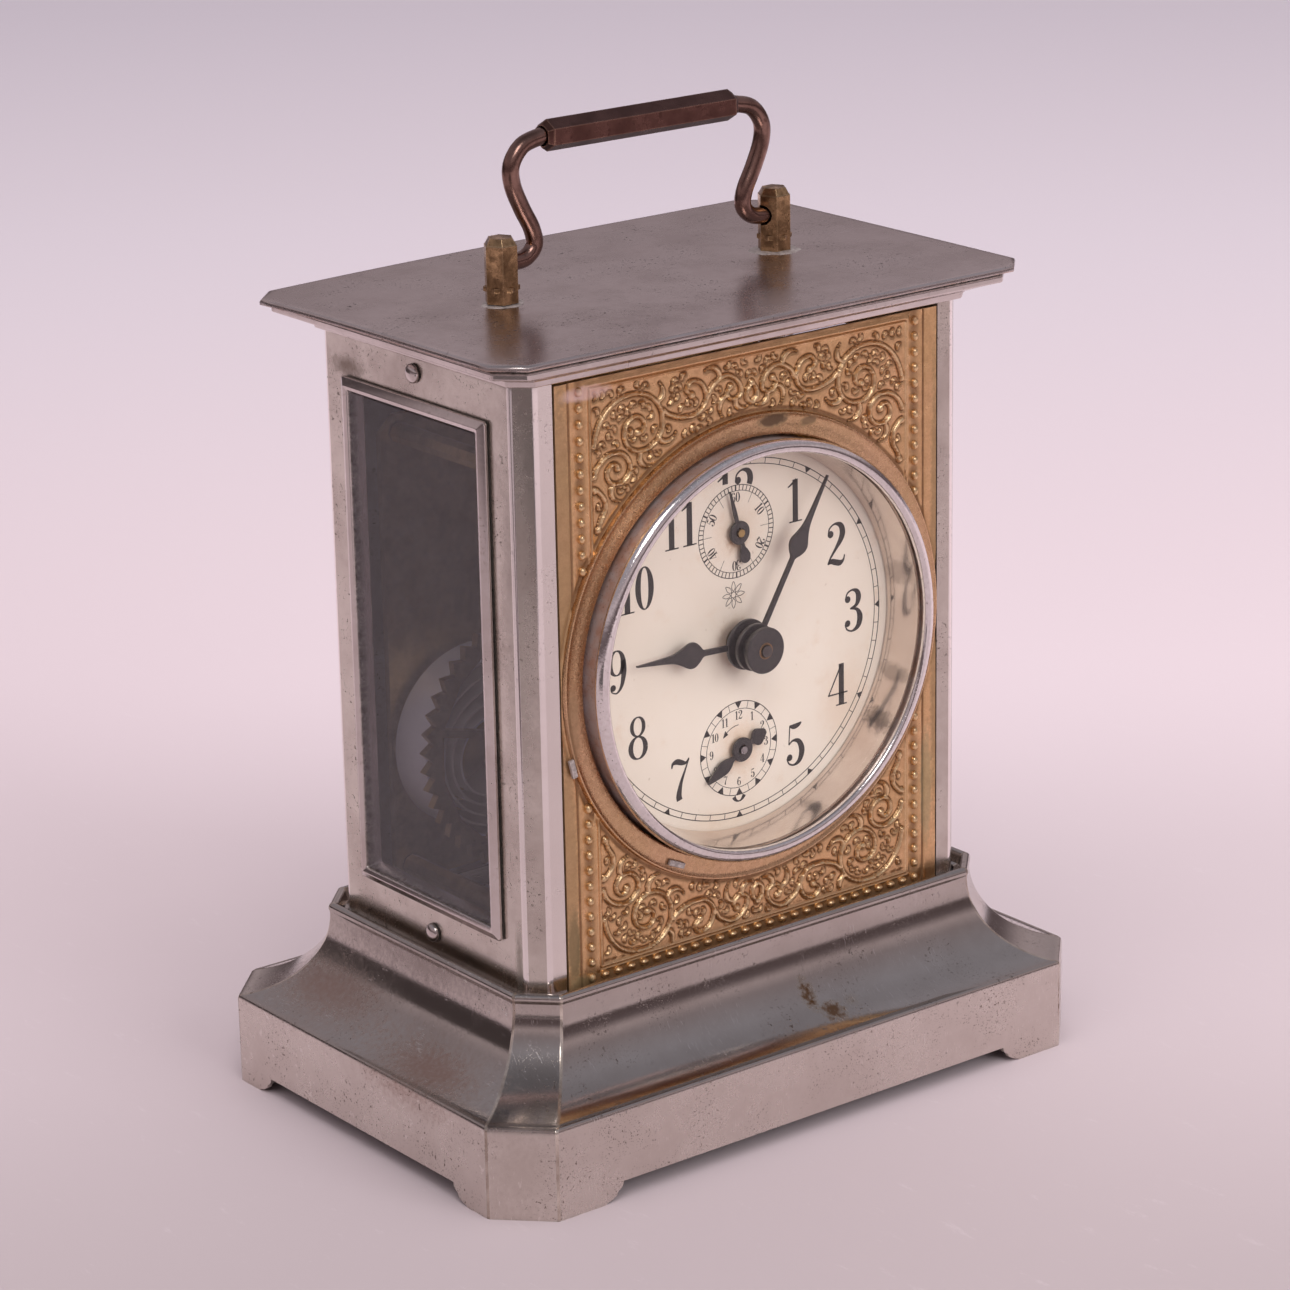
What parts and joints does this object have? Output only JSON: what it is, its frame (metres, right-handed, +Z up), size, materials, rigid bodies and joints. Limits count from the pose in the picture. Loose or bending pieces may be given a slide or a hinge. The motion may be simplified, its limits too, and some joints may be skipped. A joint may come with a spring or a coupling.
{
  "type": "carriage alarm clock",
  "caption": "Small nickel-plated carriage alarm clock with a swing handle, glazed sides, an embossed brass front round a paper dial, and a flared base that hides its bell.",
  "frame": {"origin": "centre of the base, on the plane that the feet stand on", "axes": "+X to the right of someone who faces the dial, +Y from the dial to the back, +Z up"},
  "size_m": [0.125, 0.0884, 0.1667],
  "materials": {
    "nickel_plate": "old nickel plate on brass sheet, satin to polished, dull grey-brown tarnish",
    "front_brass": "embossed and lacquered sheet, darkened in the hollows",
    "handle_copper": "worn through to copper brown, satin",
    "aged_brass": "turned, aged, satin",
    "glass": "clear, polished",
    "dial_paper": "printed cream paper on tin, lightly stained, matt",
    "black_hands": "black japanned steel, semi-gloss",
    "movement_brass": "stamped sheet, dull",
    "movement_steel": "cut steel, dull",
    "blued_steel": "blued spring steel, semi-gloss",
    "bell_steel": "nickel-plated steel, satin"
  },
  "bodies": {
    "case": {"base_shell": "nickel_plate", "case_floor": "movement_steel", "bell": "bell_steel", "side_wall_left": "nickel_plate", "side_wall_right": "nickel_plate", "front_panel": "front_brass", "back_panel": "nickel_plate", "window_frame_left": "nickel_plate", "window_frame_right": "nickel_plate", "window_glass_left": "glass", "window_glass_right": "glass", "rivet_left_lower": "nickel_plate", "rivet_left_upper": "nickel_plate", "rivet_right_lower": "nickel_plate", "rivet_right_upper": "nickel_plate", "bezel": "nickel_plate", "front_glass": "glass", "dial_surround": "dial_paper", "dial": "dial_paper", "lid_plate": "nickel_plate", "lid_cornice": "nickel_plate", "handle_post_left": "aged_brass", "handle_post_right": "aged_brass", "front_plate": "movement_brass", "back_plate": "movement_brass", "pillar_1": "movement_brass", "pillar_2": "movement_brass", "pillar_3": "movement_brass", "pillar_4": "movement_brass", "time_mainspring": "blued_steel", "alarm_mainspring": "blued_steel", "hairspring": "blued_steel"},
    "handle": {"handle_rod": "handle_copper", "handle_grip": "handle_copper"},
    "minute_arbor": {"centre_arbor": "movement_steel", "minute_hand": "black_hands", "hand_set_knob": "aged_brass"},
    "motion_wheel": {"minute_wheel": "movement_brass"},
    "hour_pipe": {"hour_wheel": "movement_brass", "hour_hand": "black_hands"},
    "alarm_motion_wheel": {"alarm_wheel": "movement_brass"},
    "seconds_arbor": {"seconds_wheel": "movement_brass", "seconds_hand": "black_hands"},
    "third_arbor": {"third_wheel": "movement_brass"},
    "centre_train_wheel": {"centre_wheel": "movement_brass"},
    "great_train_wheel": {"great_wheel": "movement_brass"},
    "escape_arbor": {"escape_wheel": "movement_brass"},
    "time_winder": {"time_winding_arbor": "movement_steel", "time_key": "aged_brass"},
    "alarm_train_wheel": {"alarm_great_wheel": "movement_brass"},
    "alarm_escape_arbor": {"alarm_escape_wheel": "movement_brass"},
    "alarm_winder": {"alarm_winding_arbor": "movement_steel", "alarm_key": "aged_brass"},
    "alarm_setter": {"alarm_set_arbor": "movement_steel", "alarm_hand": "black_hands"},
    "pallets": {"pallet_fork": "movement_steel"},
    "balance": {"balance_wheel": "movement_brass"},
    "regulator_lever": {"regulator": "movement_steel"},
    "alarm_stop": {"alarm_stop_lever": "movement_steel"},
    "bell_hammer": {"hammer": "movement_steel"}
  },
  "joints": [
    {"name": "handle_fold", "type": "hinge", "parent": "case", "child": "handle", "pos_m": [0, 0, 0.1444], "axis": [1, 0, 0], "range_deg": [-98, 98]},
    {"name": "hand_turn", "type": "hinge", "parent": "case", "child": "minute_arbor", "pos_m": [0, 0, 0.0808], "axis": [0, 1, 0], "continuous": true},
    {"name": "minute_wheel_turn", "type": "hinge", "parent": "case", "child": "motion_wheel", "pos_m": [0.01172, 0, 0.0808], "axis": [0, 1, 0], "continuous": true},
    {"name": "hour_turn", "type": "hinge", "parent": "case", "child": "hour_pipe", "pos_m": [0, 0, 0.0808], "axis": [0, 1, 0], "continuous": true},
    {"name": "alarm_wheel_turn", "type": "hinge", "parent": "case", "child": "alarm_motion_wheel", "pos_m": [0, 0, 0.06204], "axis": [0, 1, 0], "continuous": true},
    {"name": "seconds_turn", "type": "hinge", "parent": "case", "child": "seconds_arbor", "pos_m": [0, 0, 0.09949], "axis": [0, 1, 0], "continuous": true},
    {"name": "third_turn", "type": "hinge", "parent": "case", "child": "third_arbor", "pos_m": [-0.01432, 0, 0.09117], "axis": [0, 1, 0], "continuous": true},
    {"name": "centre_turn", "type": "hinge", "parent": "case", "child": "centre_train_wheel", "pos_m": [0, 0, 0.0808], "axis": [0, 1, 0], "continuous": true},
    {"name": "great_turn", "type": "hinge", "parent": "case", "child": "great_train_wheel", "pos_m": [-0.0185, 0, 0.0605], "axis": [0, 1, 0], "continuous": true},
    {"name": "escape_turn", "type": "hinge", "parent": "case", "child": "escape_arbor", "pos_m": [0.01134, 0, 0.09949], "axis": [0, 1, 0], "continuous": true},
    {"name": "time_winding", "type": "hinge", "parent": "great_train_wheel", "child": "time_winder", "pos_m": [-0.0185, 0, 0.0605], "axis": [0, 1, 0], "range_deg": [0, 1800]},
    {"name": "alarm_train_turn", "type": "hinge", "parent": "case", "child": "alarm_train_wheel", "pos_m": [0.0185, 0, 0.0605], "axis": [0, 1, 0], "continuous": true},
    {"name": "alarm_escape_turn", "type": "hinge", "parent": "case", "child": "alarm_escape_arbor", "pos_m": [0.02812, 0, 0.0786], "axis": [0, 1, 0], "continuous": true},
    {"name": "alarm_winding", "type": "hinge", "parent": "alarm_train_wheel", "child": "alarm_winder", "pos_m": [0.0185, 0, 0.0605], "axis": [0, 1, 0], "range_deg": [0, 1800]},
    {"name": "alarm_setting", "type": "hinge", "parent": "case", "child": "alarm_setter", "pos_m": [0, 0, 0.06204], "axis": [0, 1, 0], "continuous": true},
    {"name": "pallet_rock", "type": "hinge", "parent": "case", "child": "pallets", "pos_m": [0.0204, 0, 0.1003], "axis": [0, 1, 0], "range_deg": [-3, 3]},
    {"name": "balance_swing", "type": "hinge", "parent": "case", "child": "balance", "pos_m": [0.0304, 0, 0.101], "axis": [0, 1, 0], "range_deg": [-150, 150], "stiffness_Nm_per_rad": 0.000004},
    {"name": "regulator_turn", "type": "hinge", "parent": "case", "child": "regulator_lever", "pos_m": [0.0304, 0, 0.101], "axis": [0, 1, 0], "range_deg": [-20, 20]},
    {"name": "alarm_stop_turn", "type": "hinge", "parent": "case", "child": "alarm_stop", "pos_m": [-0.01, 0, 0.1103], "axis": [0, 1, 0], "range_deg": [-20, 20]},
    {"name": "hammer_swing", "type": "hinge", "parent": "case", "child": "bell_hammer", "pos_m": [0.031, 0, 0.084], "axis": [0, 1, 0], "range_deg": [-3, 1.5]}
  ],
  "couplings": [
    {"joint": "minute_wheel_turn", "follows": "hand_turn", "ratio": -0.33333},
    {"joint": "hour_turn", "follows": "hand_turn", "ratio": 0.083333},
    {"joint": "alarm_wheel_turn", "follows": "hand_turn", "ratio": -0.083333},
    {"joint": "third_turn", "follows": "seconds_turn", "ratio": -0.125},
    {"joint": "centre_turn", "follows": "seconds_turn", "ratio": 0.016667},
    {"joint": "great_turn", "follows": "seconds_turn", "ratio": -0.0033333},
    {"joint": "escape_turn", "follows": "seconds_turn", "ratio": -8},
    {"joint": "alarm_escape_turn", "follows": "alarm_train_turn", "ratio": -4.125}
  ]
}
